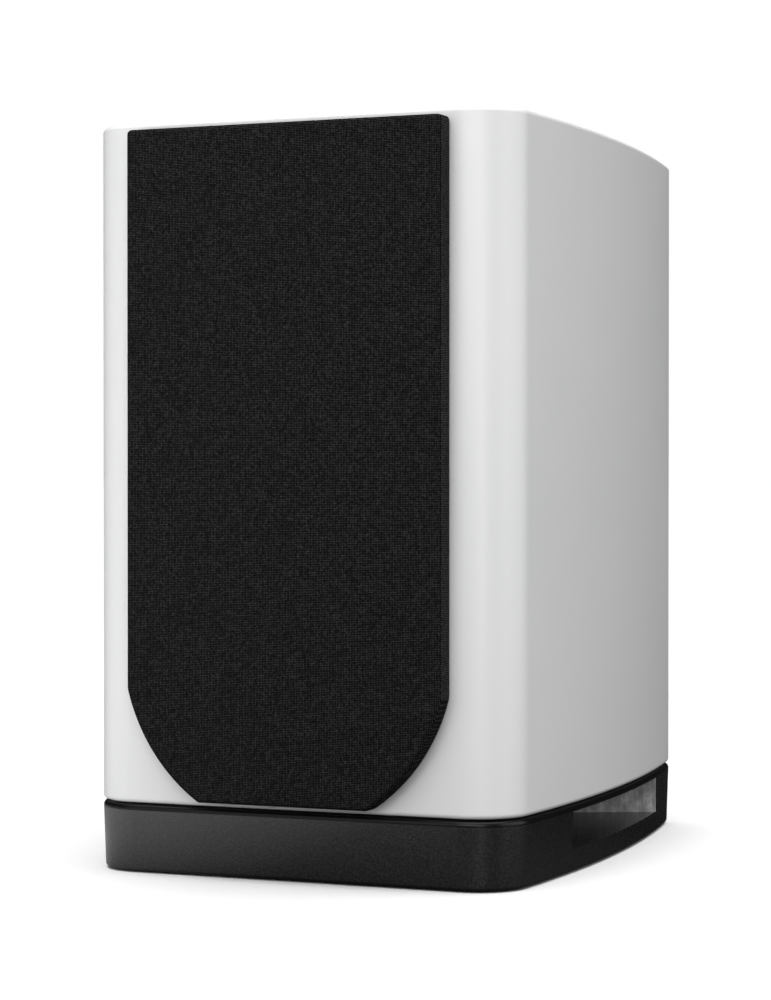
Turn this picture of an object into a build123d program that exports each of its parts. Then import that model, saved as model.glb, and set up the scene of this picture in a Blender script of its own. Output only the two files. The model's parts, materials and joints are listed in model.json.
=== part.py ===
from build123d import *
import os
from math import atan2, cos, pi, radians, sin, sqrt, tan

os.makedirs("parts", exist_ok=True)

# Compact two-way bookshelf loudspeaker with a down-firing port and a plinth.
# +X is the right-hand side seen from the front, +Y runs to the back, +Z is up.
# Everything is drawn with Y = 0 on the baffle's face and Z = 0 on the table, then
# moved along Y so that the origin is the middle of the bounding box's underside.

# ---- overall sizes, in millimetres
total_h = 337.2          # table to cabinet top
cab_w = 210.0            # widest point of the curved sides
cab_d = 283.0            # baffle face to rear face
cab_z0 = 31.7            # cabinet underside
panel_t = 18.0           # top, bottom, side and rear panels
baffle_t = 26.0
brace_z = 212.0
brace_t = 10.0
side_r = 981.0           # plan radius of each side's curve
widest_y = 78.9          # how far back the sides are widest
front_r = 24.1           # plan radius of the front corners
rear_r = 16.0            # plan radius of the rear corners
edge_r = 2.0             # rounding along the cabinet's top and bottom edges

# ---- plinth
foot_proud = 0.8
plinth_top = 28.3        # top of the plinth body, under its cover plate
cover_top = 31.2
cover_edge_r = 2.3
duct_floor = 11.0
duct_y0 = 75.0
duct_y1 = 229.0
duct_edge_r = 4.0
plinth_edge_r = 1.5
plinth_draft = 2.0        # degrees that the plinth's walls lean in towards the table
foot_r = 9.0
feet_xy = [(-76, 30), (76, 30), (-70, 250), (70, 250)]
plinth_screw_xy = [(-58, 38), (58, 38), (-56, 257), (56, 257)]
deflector_apex_y = 184.0
deflector_end = (93.0, 227.2)
deflector_t = 4.0

# ---- port
port_y = 130.0
port_r = 22.0
port_wall = 2.4
port_top = 165.0
port_mouth_r = 32.0
port_flange_r = 36.0
port_flange_t = 6.0

# ---- woofer, axis along Y
woofer_z = 160.0
frame_r = 67.0           # outer radius of the basket's flange and trim ring
cutout_r = 60.0
roll_mid_r = 51.0        # middle of the surround's roll
roll_r = 4.0
coil_r = 13.1            # outside of the voice coil's former
pole_r = 12.3
gap_r = 14.3             # hole in the front pole plate
woofer_screws_n = 6

# ---- tweeter, folded-ribbon type
tweeter_z = 273.0
tw_w = 96.0
tw_h = 74.0
tw_hole_w = 80.0
tw_hole_h = 58.0
mouth_w = 30.0
mouth_h = 50.0
pleats_n = 14

# ---- grille
grille_hw = 76.0         # half-width
grille_z0 = 34.4
grille_z1 = 333.4
grille_front = -11.0
cloth_t = 0.8
grille_back = -0.6
shoulder_z = 84.0        # the straight sides end here and curve in towards the bottom
bottom_hw = 40.7         # half-width of the flat bottom edge
grille_corner_r = 2.2    # top corners and the two corners of the bottom edge
grille_roll_r = 2.0      # rounding of the cloth from its front onto its sides
magnet_r = 5.0
magnet_xz = [(-64, 309), (64, 309), (-66, 230), (66, 230), (-60, 90), (60, 90)]

# ---- terminals in the rear panel
cup_z = 120.0
cup_w = 90.0
cup_h = 82.0
cup_wall = 3.0
cup_floor = 267.0        # rear-facing side of the recess's floor
post_dx = 19.0
post_dz = 17.0
stud_r = 4.0
socket_r = 2.0           # takes a 4 mm banana plug
socket_depth = 18.0
stud_end = 284.4
stud_inner_y = 254.0       # inner end, where the crossover's leads are soldered
cap_r = 7.5
cap_y0 = 272.9
cap_y1 = 285.4
thread_gap = 0.3

# ---- crossover board on the inside of the rear panel
board_w = 104.0
board_h = 76.0
board_z = 270.0
board_y = 257.4
board_t = 1.6
wire_r = 1.1

y_shift = -(cap_y1 + grille_front) / 2
cab_back = cab_d - panel_t
cab_top = total_h - panel_t
floor_top = cab_z0 + panel_t
centre_x = cab_w / 2 - side_r


def save(name, *solids):
    """Write one or more solids as one node, moved to the object's own origin."""
    bodies = [s for item in solids for s in item.solids()]
    shape = bodies[0] if len(bodies) == 1 else Compound(children=bodies)
    export_step(Pos(0, y_shift, 0) * shape, f"parts/{name}.step")


def block(x0, x1, y0, y1, z0, z1):
    """Box between two corners."""
    middle = Pos((x0 + x1) / 2, (y0 + y1) / 2, (z0 + z1) / 2)
    return middle * Box(x1 - x0, y1 - y0, z1 - z0)


def rod_y(r, y0, y1, x=0.0, z=0.0):
    """Cylinder along Y."""
    return Pos(x, (y0 + y1) / 2, z) * Rot(90, 0, 0) * Cylinder(r, y1 - y0)


def rod_z(r, z0, z1, x=0.0, y=0.0):
    """Cylinder along Z."""
    return Pos(x, y, (z0 + z1) / 2) * Cylinder(r, z1 - z0)


def rod_x(r, x0, x1, y=0.0, z=0.0):
    """Cylinder along X."""
    return Pos((x0 + x1) / 2, y, z) * Rot(0, 90, 0) * Cylinder(r, x1 - x0)


def turned_y(points, x=0.0, z=0.0):
    """Ring turned about an axis along Y from (radius, y) points."""
    outline = Polyline(*[(r, y) for r, y in points], close=True)
    return Pos(x, 0, z) * revolve(make_face(outline), Axis.Y, 360)


def rounded_plate(w, h, r, y0, y1, x=0.0, z=0.0):
    """Plate facing along Y with rounded corners."""
    face = Plane.XZ * RectangleRounded(w, h, r)
    return Pos(x, y1, z) * extrude(face, amount=y1 - y0)


def half_width(y, inset=0.0):
    """Distance from the middle plane to the side's face, inset by so much."""
    return centre_x + sqrt((side_r - inset) ** 2 - (y - widest_y) ** 2)


def corner(y_end, r, inset, inwards):
    """Where a corner arc of radius r leaves the side's curve and meets the flat end at y_end."""
    rs = side_r - inset
    yc = y_end + inwards * r
    xc = centre_x + sqrt((rs - r) ** 2 - (yc - widest_y) ** 2)
    a = atan2(yc - widest_y, xc - centre_x)
    on_side = (xc + r * cos(a), yc + r * sin(a))
    on_end = (xc, y_end)
    mid_a = (a - inwards * pi / 2) / 2
    middle = (xc + r * cos(mid_a), yc + r * sin(mid_a))
    return on_end, middle, on_side


def plan(y0, y1, inset=0.0, rf=0.0, rr=0.0):
    """Plan face of the cabinet between y0 and y1, with front and rear corner radii."""
    half = []
    if rf:
        e0, m0, s0 = corner(y0, rf, inset, 1)
        half.append((e0, m0, s0))
    else:
        e0 = s0 = (half_width(y0, inset), y0)
    if rr:
        e1, m1, s1 = corner(y1, rr, inset, -1)
    else:
        e1 = s1 = (half_width(y1, inset), y1)
    ym = (s0[1] + s1[1]) / 2
    half.append((s0, (half_width(ym, inset), ym), s1))
    if rr:
        half.append((s1, m1, e1))
    edges = [Line((-e0[0], y0), (e0[0], y0)), Line((e1[0], y1), (-e1[0], y1))]
    for a, b, c in half:
        edges.append(ThreePointArc(a, b, c))
        edges.append(ThreePointArc((-a[0], a[1]), (-b[0], b[1]), (-c[0], c[1])))
    return make_face(edges)


def slab(face, z0, z1):
    """Extrude a plan face between two heights."""
    return Pos(0, 0, z0) * extrude(face, amount=z1 - z0, dir=(0, 0, 1))


def lowest_edges(shape):
    return shape.faces().sort_by(Axis.Z)[0].outer_wire().edges()


def highest_edges(shape):
    return shape.faces().sort_by(Axis.Z)[-1].outer_wire().edges()


def screw_y(y_head, length, r, head_r, head_t, x, z):
    """Pan-head screw driven along +Y with a cross recess in its head."""
    body = rod_y(head_r, y_head, y_head + head_t, x, z) + rod_y(r, y_head, y_head + length, x, z)
    arm = head_r * 0.62
    slot = head_t * 0.5
    body -= block(x - arm, x + arm, y_head - 1, y_head + slot, z - 0.4, z + 0.4)
    body -= block(x - 0.4, x + 0.4, y_head - 1, y_head + slot, z - arm, z + arm)
    return body


full = plan(0, cab_d, 0, front_r, rear_r)

# ================= cabinet =================
# Top and bottom panels carry the whole plan outline; the others stand between them.
top_panel = slab(full, cab_top, total_h)
top_panel = fillet(highest_edges(top_panel), edge_r)
save("top_panel", top_panel)

bottom_panel = slab(full, cab_z0, floor_top)
bottom_panel = fillet(lowest_edges(bottom_panel), edge_r)
bottom_panel -= rod_z(port_r + port_wall + 0.1, cab_z0 - 1, floor_top + 1, 0, port_y)
bottom_panel -= rod_z(port_flange_r + 0.2, cab_z0 - 1, cab_z0 + port_flange_t, 0, port_y)
for x, y in plinth_screw_xy:
    bottom_panel -= rod_z(2.1, cab_z0 - 1, cab_z0 + 13, x, y)
save("bottom_panel", bottom_panel)

baffle = slab(plan(0, baffle_t, 0, front_r, 0), floor_top, cab_top)
baffle -= rod_y(cutout_r, -1, baffle_t + 1, 0, woofer_z)
baffle -= rod_y(frame_r + 0.3, -1, 5.0, 0, woofer_z)
baffle -= rounded_plate(tw_w + 0.6, tw_h + 0.6, 6.3, -1, 4.0, 0, tweeter_z)
baffle -= rounded_plate(tw_hole_w, tw_hole_h, 4, -1, baffle_t + 1, 0, tweeter_z)
woofer_screw_at = []
for i in range(woofer_screws_n):
    a = radians(30 + 360 / woofer_screws_n * i)
    woofer_screw_at.append((63.3 * cos(a), woofer_z + 63.3 * sin(a)))
for x, z in woofer_screw_at:
    baffle -= rod_y(1.9, 4, 19, x, z)
tweeter_screw_at = [(sx * 42.5, tweeter_z + sz * 32) for sx in (-1, 1) for sz in (-1, 1)]
for x, z in tweeter_screw_at:
    baffle -= rod_y(1.7, 3, 17, x, z)
# Blind holes from behind put the grille's keeper magnets close under the lacquered face.
for x, z in magnet_xz:
    baffle -= rod_y(magnet_r + 0.1, 1.5, baffle_t + 1, x, z)
save("front_baffle", baffle)

side_ring = plan(baffle_t, cab_d, 0, 0, rear_r) - plan(baffle_t - 1, cab_d + 1, panel_t, 0, 0)
sides = slab(side_ring, floor_top, cab_top).solids()
save("side_panel_left", min(sides, key=lambda s: s.center().X))
save("side_panel_right", max(sides, key=lambda s: s.center().X))

rear = slab(plan(cab_back, cab_d, panel_t, 0, 0), floor_top, cab_top)
rear -= rounded_plate(cup_w + 0.4, cup_h + 0.4, 8, cab_back - 1, cab_d + 1, 0, cup_z)
cup_screw_at = [(sx * 47.5, cup_z + sz * 43.5) for sx in (-1, 1) for sz in (-1, 1)]
for x, z in cup_screw_at:
    rear -= rod_y(1.7, cab_d - 14, cab_d + 1, x, z)
stand_at = [(sx * 46, board_z + sz * 32) for sx in (-1, 1) for sz in (-1, 1)]
for x, z in stand_at:
    rear -= rod_y(1.6, cab_back - 1, cab_back + 8, x, z)
save("rear_panel", rear)

# Window brace across the cabinet, just above the woofer.
brace = slab(plan(baffle_t, cab_back, panel_t, 0, 0), brace_z, brace_z + brace_t)
brace -= block(-62, 62, baffle_t + 12, 118, brace_z - 1, brace_z + brace_t + 1)
brace -= block(-68, 68, 134, cab_back - 10, brace_z - 1, brace_z + brace_t + 1)
save("internal_brace", brace)

# Port: a flared tube let into the bottom panel, open to the plinth's duct.
tube_r = port_r + port_wall
flare_r = port_mouth_r - port_r
port = rod_z(tube_r, cab_z0, port_top, 0, port_y)
port += rod_z(port_flange_r, cab_z0, cab_z0 + port_flange_t, 0, port_y)
port += rod_z(tube_r + 3, port_top - 3, port_top, 0, port_y)
port = fillet(highest_edges(port), 1.4)
port -= rod_z(port_r, cab_z0 - 1, port_top + 1, 0, port_y)
flare = rod_z(port_mouth_r, cab_z0, cab_z0 + flare_r, 0, port_y)
flare -= Pos(0, port_y, cab_z0 + flare_r) * Torus(port_mouth_r, flare_r)
port -= flare
save("port_tube", port)

# Damping pads on both sides and under the top.
pad_ring = plan(82, 252, panel_t + 0.2, 0, 0) - plan(81, 253, panel_t + 12, 0, 0)
pads = slab(pad_ring, 58, 208).solids()
pads.append(block(-60, 60, 62, 224, cab_top - 14, cab_top).solid())
save("damping_pads", *pads)

# ================= plinth =================
body = Pos(0, 0, plinth_top) * extrude(full, amount=plinth_top - foot_proud, dir=(0, 0, -1),
                                       taper=plinth_draft)
body = fillet(lowest_edges(body), plinth_edge_r)
body -= slab(plan(4, duct_y0 - 4, 4, front_r - 4, 0), 5, plinth_top + 1)
for x, y in plinth_screw_xy[:2]:
    body += rod_z(8, 4, plinth_top, x, y)
# The duct runs from side to side; its front lower edge is rounded.
duct = block(-cab_w / 2 - 5, cab_w / 2 + 5, duct_y0, duct_y1, duct_floor, plinth_top + 8)
duct_front_edge = duct.edges().filter_by(Axis.X).group_by(Axis.Z)[0].sort_by(Axis.Y)[0]
duct = fillet(duct_front_edge, duct_edge_r)
body -= duct
body -= slab(plan(duct_y1 + 6, cab_d - 4, 4, 0, rear_r - 4), 5, plinth_top + 1)
for x, y in plinth_screw_xy[2:]:
    body += rod_z(8, 4, plinth_top, x, y)
for x, y in plinth_screw_xy:
    body -= rod_z(2.1, 0, plinth_top + 1, x, y)
    body -= rod_z(4.6, 0, 6.0, x, y)
for x, y in feet_xy:
    body -= rod_z(foot_r + 0.1, 0, foot_proud + 1.5, x, y)
save("plinth_body", body)

cover = slab(full, plinth_top, cover_top)
cover = fillet(highest_edges(cover), cover_edge_r)
cover -= rod_z(port_mouth_r, plinth_top - 1, cover_top + 1, 0, port_y)
for x, y in plinth_screw_xy:
    cover -= rod_z(2.1, plinth_top - 1, cover_top + 1, x, y)
save("plinth_cover", cover)

# Vee-shaped wall that turns the port's air out of both side windows.
apex = (0, deflector_apex_y)
tip = deflector_end
vee = Polyline((-tip[0], tip[1]), apex, tip, (tip[0], tip[1] + deflector_t),
               (0, apex[1] + deflector_t), (-tip[0], tip[1] + deflector_t), close=True)
deflector = slab(make_face(vee), duct_floor, plinth_top) & duct
save("air_deflector", *deflector.solids())

seal = slab(plan(6, cab_d - 6, 6, front_r - 6, rear_r - 6), cover_top, cab_z0)
seal -= slab(plan(14, cab_d - 14, 14, front_r - 14, 0), cover_top - 1, cab_z0 + 1)
port_seal = rod_z(port_mouth_r + 8, cover_top, cab_z0, 0, port_y)
port_seal -= rod_z(port_mouth_r + 0.5, cover_top - 1, cab_z0 + 1, 0, port_y)
save("plinth_seal", seal, port_seal)

plinth_screws = []
for x, y in plinth_screw_xy:
    screw = rod_z(4.2, 3.2, 6.0, x, y) + rod_z(2.0, 3.2, cab_z0 + 12, x, y)
    screw -= block(x - 2.6, x + 2.6, y - 0.4, y + 0.4, 3, 4.6)
    screw -= block(x - 0.4, x + 0.4, y - 2.6, y + 2.6, 3, 4.6)
    plinth_screws.append(screw)
save("plinth_screws", *plinth_screws)

feet = []
for x, y in feet_xy:
    foot = rod_z(foot_r, 0, foot_proud + 1.5, x, y)
    feet.append(fillet(lowest_edges(foot), 0.5))
save("rubber_feet", *feet)

# ================= woofer =================
def woofer(points):
    return turned_y(points, 0, woofer_z)


basket = woofer([(56, 1.2), (frame_r, 1.2), (frame_r, 4.2), (58.5, 4.2), (42.5, 36),
                 (42.5, 39), (gap_r, 39), (gap_r, 36), (40, 36), (44.5, 27), (36, 27),
                 (36, 25), (45.5, 25), (56, 4.2)])
for i in range(6):
    window = block(43, 62, 9, 22, -18, 18)
    basket -= Pos(0, 0, woofer_z) * Rot(0, 60 * i, 0) * window
for x, z in woofer_screw_at:
    basket -= rod_y(2.0, 0, 5, x, z)
    basket -= rod_y(3.4, 0, 2.8, x, z)
basket += block(41.5, 47, 36, 39, woofer_z - 11, woofer_z + 11)
save("woofer_basket", basket)

gasket = woofer([(60.3, 4.2), (frame_r, 4.2), (frame_r, 5.0), (60.3, 5.0)])
for x, z in woofer_screw_at:
    gasket -= rod_y(2.0, 4, 6, x, z)

trim = woofer([(55.8, 0.5), (60.1, 0.5), (60.1, 1.2), (frame_r, 1.2), (frame_r, -0.4),
               (66, -1.2), (57.2, -1.2), (55.8, -0.2)])
save("woofer_trim_ring", trim)

woofer_screws = [screw_y(1.2, 15, 1.8, 3.2, 1.5, x, z) for x, z in woofer_screw_at]
save("woofer_screws", *woofer_screws)

save("woofer_front_pole_plate", woofer([(gap_r, 39), (36, 39), (36, 44), (gap_r, 44)]))
save("woofer_magnet", woofer([(18, 44), (40, 44), (40, 57), (18, 57)]))
yoke = rod_y(36, 57, 62, 0, woofer_z) + rod_y(pole_r, 38, 57, 0, woofer_z)
yoke -= rod_y(4, 30, 70, 0, woofer_z)
save("woofer_yoke", yoke)

board = block(43, 54, 39, 40.6, woofer_z - 11, woofer_z + 11)
blades = [block(49, 61, 40.6, 41.4, woofer_z + s * 6 - 2.4, woofer_z + s * 6 + 2.4)
          for s in (-1, 1)]

# Moving group: cone, cap and coil travel together along Y.
cone_t = 0.9
cone_line = [(47, 1.2), (43.8, 1.6), (36, 5.2), (27, 10.6), (19, 16.2), (coil_r, 21.0)]
cone = woofer(cone_line + [(r, y + cone_t) for r, y in reversed(cone_line)])
save("woofer_cone", cone)

cap_edge_r = 18.8
cap_edge_y = 15.3
cap_rise = 6.4
ball_r = (cap_edge_r ** 2 + cap_rise ** 2) / (2 * cap_rise)
ball_y = cap_edge_y - cap_rise + ball_r
ball = Pos(0, ball_y, woofer_z) * (Sphere(ball_r) - Sphere(ball_r - 0.7))
dust_cap = ball & rod_y(40, cap_edge_y - 20, cap_edge_y, 0, woofer_z)
save("woofer_dust_cap", dust_cap)

coil = woofer([(12.75, 21.9), (coil_r, 21.9), (coil_r, 36.5), (13.9, 36.5),
               (13.9, 46.5), (12.75, 46.5)])
save("woofer_voice_coil", coil)

# Half-roll surround: its inner land lies on the cone's lip, its outer land on the flange.
roll_edges = [
    Line((44.5, 1.2), (44.5, 0.5)),
    Line((44.5, 0.5), (roll_mid_r - roll_r, 0.5)),
    ThreePointArc((roll_mid_r - roll_r, 0.5), (roll_mid_r, 0.5 - roll_r),
                  (roll_mid_r + roll_r, 0.5)),
    Line((roll_mid_r + roll_r, 0.5), (60, 0.5)),
    Line((60, 0.5), (60, 1.2)),
    Line((60, 1.2), (roll_mid_r + roll_r - 0.7, 1.2)),
    ThreePointArc((roll_mid_r + roll_r - 0.7, 1.2), (roll_mid_r, 1.2 - roll_r + 0.2),
                  (roll_mid_r - roll_r + 0.7, 1.2)),
    Line((roll_mid_r - roll_r + 0.7, 1.2), (44.5, 1.2)),
]
surround = Pos(0, 0, woofer_z) * revolve(make_face(roll_edges), Axis.Y, 360)
save("woofer_surround", surround)

# Corrugated spider from the coil's former to the basket's ledge.
waves_n = 5
wave_steps = 60
wave = []
for i in range(wave_steps + 1):
    r = 15.5 + (35.5 - 15.5) * i / wave_steps
    wave.append((r, 24.7 - 0.9 * sin(2 * pi * waves_n * i / wave_steps)))
spider_mid = [(coil_r, 24.7)] + wave + [(41, 24.7)]
spider = woofer([(r, y - 0.25) for r, y in spider_mid]
                + [(r, y + 0.25) for r, y in reversed(spider_mid)])
save("woofer_spider", spider)

# ================= tweeter =================
faceplate = rounded_plate(tw_w, tw_h, 6, -0.8, 3.2, 0, tweeter_z)
faceplate = chamfer(faceplate.faces().sort_by(Axis.Y)[0].outer_wire().edges(), 0.6)
mouth = Pos(0, 1.2, tweeter_z) * Rot(90, 0, 0) * extrude(
    RectangleRounded(mouth_w, mouth_h, 3), amount=2.0, taper=-50)
faceplate -= mouth
faceplate -= rounded_plate(mouth_w, mouth_h, 3, -2, 4, 0, tweeter_z)
for x, z in tweeter_screw_at:
    faceplate -= rod_y(1.7, -2, 4, x, z)
    faceplate -= rod_y(3.3, -2, 1.4, x, z)
save("tweeter_faceplate", faceplate)

tw_gasket = rounded_plate(tw_w, tw_h, 6, 3.2, 4.0, 0, tweeter_z)
tw_gasket -= rounded_plate(tw_hole_w, tw_hole_h, 4, 3, 5, 0, tweeter_z)
for x, z in tweeter_screw_at:
    tw_gasket -= rod_y(1.8, 3, 5, x, z)
save("driver_gaskets", gasket, tw_gasket)

tweeter_screws = [screw_y(-0.5, 15, 1.6, 3.1, 1.9, x, z) for x, z in tweeter_screw_at]
save("tweeter_screws", *tweeter_screws)


def slotted_plate(y0, y1):
    """Steel pole plate with upright slots for the sound to pass."""
    plate = rounded_plate(52, 56, 2, y0, y1, 0, tweeter_z)
    for i in range(5):
        x = (i - 2) * 5.6
        plate -= rounded_plate(3.0, 46, 1.4, y0 - 1, y1 + 1, x, tweeter_z)
    return plate


save("tweeter_pole_plates", slotted_plate(3.2, 5.2), slotted_plate(12.2, 14.2))

pleat_pitch = 28.0 / pleats_n
pleat_edge = []
for i in range(2 * pleats_n + 1):
    pleat_edge.append((-14 + pleat_pitch * i / 2, 7.2 if i % 2 else 10.2))
film = [(x, y - 0.35) for x, y in pleat_edge] + [(x, y + 0.35) for x, y in reversed(pleat_edge)]
pleats = slab(make_face(Polyline(*film, close=True)), tweeter_z - 24, tweeter_z + 24)
save("tweeter_pleated_diaphragm", pleats)

film_frame = rounded_plate(40, 56, 2, 5.2, 12.2, 0, tweeter_z)
film_frame -= block(-14.2, 14.2, 5, 13, tweeter_z - 24.2, tweeter_z + 24.2)
save("tweeter_film_frame", film_frame)

tw_magnets = [block(s * 23 - 2.8, s * 23 + 2.8, 5.2, 12.2, tweeter_z - 26, tweeter_z + 26)
              for s in (-1, 1)]
save("tweeter_magnets", *tw_magnets)

chamber = rounded_plate(78, 56, 4, 14.2, 46, 0, tweeter_z)
chamber -= rounded_plate(72, 50, 3, 14, 43, 0, tweeter_z)
chamber += rounded_plate(78, 56, 4, 4.0, 14.2, 0, tweeter_z) - block(
    -26.2, 26.2, 3, 15, tweeter_z - 28.2, tweeter_z + 28.2)
save("tweeter_rear_chamber", *chamber.solids())

tw_blades = [block(s * 8 - 0.4, s * 8 + 0.4, 46, 54, tweeter_z - 2.4, tweeter_z + 2.4)
             for s in (-1, 1)]
save("driver_terminals", board, *blades, *tw_blades)

# ================= crossover =================
pcb = block(-board_w / 2, board_w / 2, board_y, board_y + board_t,
            board_z - board_h / 2, board_z + board_h / 2)
for x, z in stand_at:
    pcb -= rod_y(1.7, board_y - 1, board_y + 3, x, z)
save("crossover_board", pcb)

posts = []
screws = []
for x, z in stand_at:
    post = rod_y(4, board_y + board_t, cab_back, x, z)
    posts.append(post - rod_y(1.6, board_y, cab_back + 1, x, z))
    screws.append(screw_y(board_y - 1.6, 15, 1.5, 3, 1.6, x, z))
save("crossover_standoffs", *posts)
save("crossover_screws", *screws)

coils = []
for x, z in ((-24, 288), (-24, 252)):
    one = rod_y(15, board_y - 14, board_y, x, z) - rod_y(6, board_y - 20, board_y + 1, x, z)
    coils.append(one)
save("crossover_inductors", *coils)

cans = []
for r, z in ((8, 295), (8, 273), (6.5, 252)):
    can = rod_x(r, 2, 38, board_y - r, z)
    cans.append(can)
save("crossover_capacitors", *cans)

resistors = [block(4, 34, board_y - 8, board_y, 235.4, 243.4),
             block(-48, -40, board_y - 8, board_y, 255, 285)]
save("crossover_resistors", *resistors)

# ================= rear terminals =================
cup = rounded_plate(104, 96, 10, cab_d, cab_d + 2, 0, cup_z)
cup = chamfer(cup.faces().sort_by(Axis.Y)[-1].outer_wire().edges(), 0.8)
cup += rounded_plate(cup_w, cup_h, 8, cup_floor - 3, cab_d, 0, cup_z)
cup -= rounded_plate(cup_w - 2 * cup_wall, cup_h - 2 * cup_wall, 6, cup_floor, 300, 0, cup_z)
post_at = {}
for level, sz in (("treble", 1), ("bass", -1)):
    for pole, sx in (("red", 1), ("black", -1)):
        post_at[level + "_" + pole] = (-sx * post_dx, cup_z + sz * post_dz)
for x, z in post_at.values():
    cup += rod_y(8.5, cup_floor, cup_floor + 2, x, z)
    cup -= rod_y(3.1, 250, 290, x, z)
for x, z in cup_screw_at:
    cup -= rod_y(1.7, 280, 290, x, z)
    cup -= rod_y(3.3, cab_d + 0.9, 290, x, z)
save("terminal_cup", cup)

cup_screws = []
for x, z in cup_screw_at:
    screw = rod_y(3.1, cab_d + 0.9, cab_d + 2.3, x, z) + rod_y(1.6, cab_d - 12, cab_d + 1, x, z)
    screw -= block(x - 1.9, x + 1.9, cab_d + 1.5, cab_d + 3, z - 0.35, z + 0.35)
    screw -= block(x - 0.35, x + 0.35, cab_d + 1.5, cab_d + 3, z - 1.9, z + 1.9)
    cup_screws.append(screw)
save("terminal_cup_screws", *cup_screws)

studs = []
nuts = []
for x, z in post_at.values():
    stud = rod_y(6.5, cup_floor + 2, cup_floor + 3.5, x, z)
    stud += rod_y(3, stud_inner_y, cup_floor + 2, x, z)
    stud += rod_y(stud_r, cup_floor + 3, stud_end, x, z)
    stud = chamfer(stud.faces().sort_by(Axis.Y)[-1].edges(), 0.4)
    stud -= rod_y(socket_r, stud_end - socket_depth, stud_end + 1, x, z)
    studs.append(stud)
    nut = Pos(x, cup_floor - 3, z) * extrude(Plane.XZ * RegularPolygon(5.5, 6), amount=4)
    nuts.append(nut - rod_y(3.05, 250, 270, x, z))
save("binding_post_studs", *studs)
save("binding_post_nuts", *nuts)

link_y = cup_floor + 3.5
links = []
for s in (-1, 1):
    x = s * post_dx
    link = block(x - 5.5, x + 5.5, link_y, link_y + 1, cup_z - post_dz, cup_z + post_dz)
    for sz in (-1, 1):
        link += rod_y(6.0, link_y, link_y + 1, x, cup_z + sz * post_dz)
    for sz in (-1, 1):
        link -= rod_y(stud_r + 0.1, link_y - 1, link_y + 2, x, cup_z + sz * post_dz)
    links.append(link)
save("jumper_links", *links)

for name, (x, z) in post_at.items():
    washer = rod_y(6.6, cap_y0 - 1.2, cap_y0, x, z)
    washer -= rod_y(stud_r + thread_gap, cap_y0 - 2, cap_y0 + 1, x, z)
    save("clamp_washer_" + name, washer)
    cap = rod_y(cap_r, cap_y0, cap_y1, x, z)
    cap = chamfer(cap.faces().sort_by(Axis.Y)[-1].edges(), 0.8)
    cap -= rod_y(stud_r + thread_gap, cap_y0 - 1, cap_y1 + 1, x, z)
    # Grip flutes around the cap.
    for i in range(12):
        a = radians(30 * i)
        cap -= rod_y(0.7, cap_y0 + 2, cap_y1 + 1, x + (cap_r + 0.2) * cos(a),
                     z + (cap_r + 0.2) * sin(a))
    save("binding_post_cap_" + name, cap)

# ================= inside wiring =================
def wire(points):
    """Insulated wire along straight runs joined by arcs as large as the runs allow."""
    corners = [Vector(*p) for p in points]
    radii = []
    for a, b, c in zip(corners, corners[1:], corners[2:]):
        turn = radians((b - a).get_angle(c - b))
        radii.append(0.45 * min((b - a).length, (c - b).length) / tan(turn / 2))
    path = FilletPolyline(*points, radius=radii)
    start = Plane(origin=path @ 0, z_dir=path % 0)
    tube = sweep(start * Circle(wire_r), path=path)
    print("wire length", round(path.length, 1), "least radius", round(min(radii), 1),
          "volume share", round(tube.volume / (pi * wire_r ** 2 * path.length), 3))
    return tube


lead_start_y = stud_inner_y - 0.8   # clears the stud's end where the lead leaves it at an angle
input_runs = []
for x, z in post_at.values():
    s = 1 if x > 0 else -1
    up = 1 if z > cup_z else -1
    end_x = s * (30 + 4 * up)
    input_runs.append([(x, lead_start_y, z), (x + s, 243, z + 9), (x + s * 4, 240 - 2 * up, z + 38),
                       (end_x, 242, 200), (end_x + s * 0.5, 247, 222), (end_x, 256, 232.6)])
save("input_leads", *[wire(points) for points in input_runs])

woofer_runs = [[(58, 41.6, woofer_z + s * 6), (60, 64, woofer_z + 4 + s * 5),
                (65, 100, 184 + s * 4), (60, 145, 202 + s * 3), (52 + s * 2, 186, 214 + s),
                (45 + s * 3, 222, 224), (42 + s * 3, 244, 229), (41 + s * 3, 256, 232.8)]
               for s in (-1, 1)]
tweeter_runs = [[(s * 8, 54.2, tweeter_z), (s * 7, 88, tweeter_z - 3), (s * 5 - 2, 138, 264),
                 (s * 3.5 - 3.5, 188, 265), (s * 3 - 4, 228, 269), (s * 3 - 4.2, 256.4, 271)]
                for s in (-1, 1)]
save("driver_leads", *[wire(points) for points in woofer_runs + tweeter_runs])

# ================= grille =================
def grille_face(inset):
    hw = grille_hw - inset
    z0 = grille_z0 + inset
    z1 = grille_z1 - inset
    shoulder = (hw, shoulder_z)
    foot = (bottom_hw - inset * 0.5, z0)
    bow = (60.4 - inset * 0.85, 52.4 + inset * 0.5)
    pieces = [Line((-hw, shoulder_z), (-hw, z1)), Line((-hw, z1), (hw, z1)),
              Line((hw, z1), shoulder), ThreePointArc(shoulder, bow, foot),
              Line(foot, (-foot[0], z0)),
              ThreePointArc((-foot[0], z0), (-bow[0], bow[1]), (-hw, shoulder_z))]
    face = make_face(pieces)
    ranked = face.vertices().sort_by(Axis.Y)
    face = fillet(ranked[-2:], max(grille_corner_r - inset, 1.0))
    ranked = face.vertices().sort_by(Axis.Y)
    face = fillet(ranked[:2], max(grille_corner_r - inset, 1.0))
    shoulders = [v for v in face.vertices() if abs(v.Y - shoulder_z) < 0.01]
    return fillet(shoulders, 10.0)


def grille_slab(inset, y0, y1):
    return Pos(0, y1, 0) * extrude(Plane.XZ * grille_face(inset), amount=y1 - y0)


def front_edges(shape):
    return shape.faces().sort_by(Axis.Y)[0].outer_wire().edges()


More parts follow.
